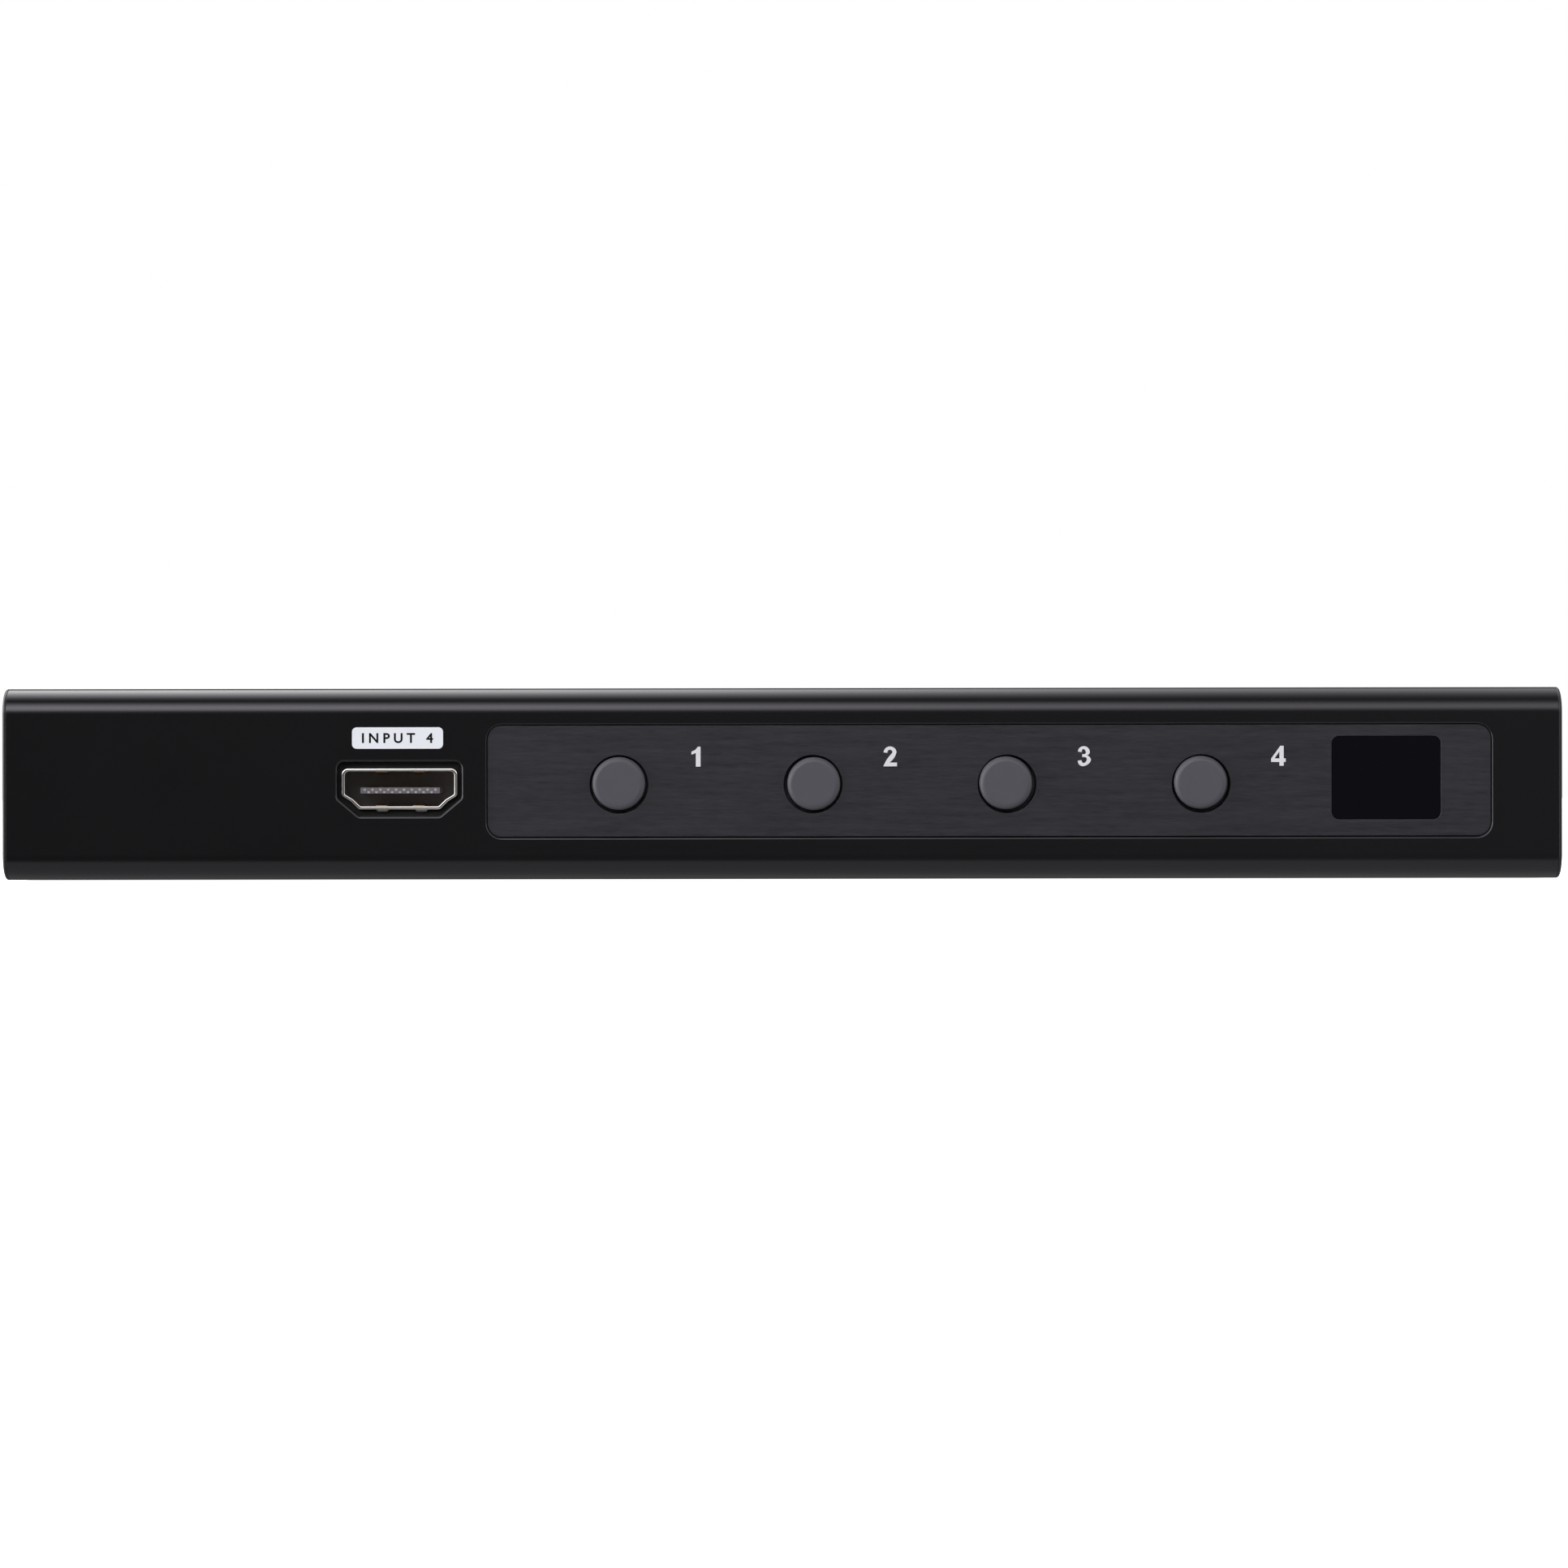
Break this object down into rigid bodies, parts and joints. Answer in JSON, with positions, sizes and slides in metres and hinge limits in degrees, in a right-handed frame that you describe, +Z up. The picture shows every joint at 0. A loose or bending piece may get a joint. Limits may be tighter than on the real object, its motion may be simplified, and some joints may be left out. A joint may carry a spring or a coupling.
{
  "type": "hdmi switch box",
  "caption": "Slim steel-cased video switch with front push buttons, numbered inputs, a front socket, an infrared window, rear sockets, power inlet and serial port.",
  "frame": {"origin": "centre of the underside of the case, on the resting face", "axes": "+Z up, front faces -Y, +X to the right as seen from the front"},
  "size_m": [0.2, 0.0795, 0.0246],
  "materials": {
    "black_coated_steel": "satin",
    "black_end_cap": "satin",
    "black_panel_steel": "satin",
    "black_screws": "black oxide",
    "zinc_steel": "zinc plated",
    "brushed_plate": "black anodised, brushed",
    "adhesive_film": "matte",
    "black_bezel_plastic": "matte",
    "smoked_window": "polished",
    "receiver_epoxy": "moulded",
    "white_print": "screen print",
    "clear_guide": "clear",
    "led_resin": "clear resin",
    "switch_plastic": "moulded",
    "spring_steel": "stainless",
    "plunger_plastic": "moulded",
    "button_paint": "metallic paint",
    "circuit_board": "solder mask",
    "chip_epoxy": "moulded",
    "thermal_pad": "soft",
    "anodised_aluminium": "black anodised",
    "ferrite": "sintered",
    "capacitor_can": "drawn can",
    "crystal_can": "nickel",
    "capacitor_ceramic": "glazed",
    "inlet_plastic": "moulded",
    "contact_plating": "gold plated",
    "socket_steel": "nickel plated",
    "socket_plastic": "moulded",
    "serial_plastic": "moulded"
  },
  "bodies": {
    "root": {"bezel_tape": "adhesive_film", "board_screws": "zinc_steel", "board_standoffs": "zinc_steel", "case_screws": "black_screws", "case_wrap": "black_coated_steel", "chip_capacitors": "capacitor_ceramic", "crystals": "crystal_can", "dc_jack_body": "inlet_plastic", "dc_jack_pin": "contact_plating", "dc_jack_spring": "contact_plating", "electrolytic_capacitors": "capacitor_can", "equaliser_chips": "chip_epoxy", "front_bezel": "black_bezel_plastic", "front_plate": "brushed_plate", "heat_sink": "anodised_aluminium", "inductor": "ferrite", "input_1_contacts": "contact_plating", "input_1_core": "socket_plastic", "input_1_shell": "socket_steel", "input_2_contacts": "contact_plating", "input_2_core": "socket_plastic", "input_2_shell": "socket_steel", "input_3_contacts": "contact_plating", "input_3_core": "socket_plastic", "input_3_shell": "socket_steel", "input_4_contacts": "contact_plating", "input_4_core": "socket_plastic", "input_4_shell": "socket_steel", "ir_receiver": "receiver_epoxy", "ir_window": "smoked_window", "left_end_cap": "black_end_cap", "main_board": "circuit_board", "microcontroller": "chip_epoxy", "number_lenses": "clear_guide", "output_contacts": "contact_plating", "output_core": "socket_plastic", "output_shell": "socket_steel", "plate_adhesive": "adhesive_film", "printed_marks": "white_print", "rear_panel": "black_panel_steel", "regulators": "chip_epoxy", "right_end_cap": "black_end_cap", "serial_block": "serial_plastic", "serial_contacts": "contact_plating", "serial_insulator": "serial_plastic", "serial_jackscrews": "zinc_steel", "serial_shell": "socket_steel", "status_leds": "led_resin", "switch_bodies": "switch_plastic", "switch_domes": "spring_steel", "switch_ic": "chip_epoxy", "thermal_pad": "thermal_pad"},
    "button_1": {"button_cap_1": "button_paint", "switch_plunger_1": "plunger_plastic"},
    "button_2": {"button_cap_2": "button_paint", "switch_plunger_2": "plunger_plastic"},
    "button_3": {"button_cap_3": "button_paint", "switch_plunger_3": "plunger_plastic"},
    "button_4": {"button_cap_4": "button_paint", "switch_plunger_4": "plunger_plastic"}
  },
  "joints": [
    {"name": "button_1_press", "type": "slide", "parent": "root", "child": "button_1", "axis": [0, 1, 0], "range_m": [0, 0.0004], "stiffness_N_per_m": 3000, "deforming": ["switch_domes"]},
    {"name": "button_2_press", "type": "slide", "parent": "root", "child": "button_2", "axis": [0, 1, 0], "range_m": [0, 0.0004], "stiffness_N_per_m": 3000, "deforming": ["switch_domes"]},
    {"name": "button_3_press", "type": "slide", "parent": "root", "child": "button_3", "axis": [0, 1, 0], "range_m": [0, 0.0004], "stiffness_N_per_m": 3000, "deforming": ["switch_domes"]},
    {"name": "button_4_press", "type": "slide", "parent": "root", "child": "button_4", "axis": [0, 1, 0], "range_m": [0, 0.0004], "stiffness_N_per_m": 3000, "deforming": ["switch_domes"]}
  ]
}
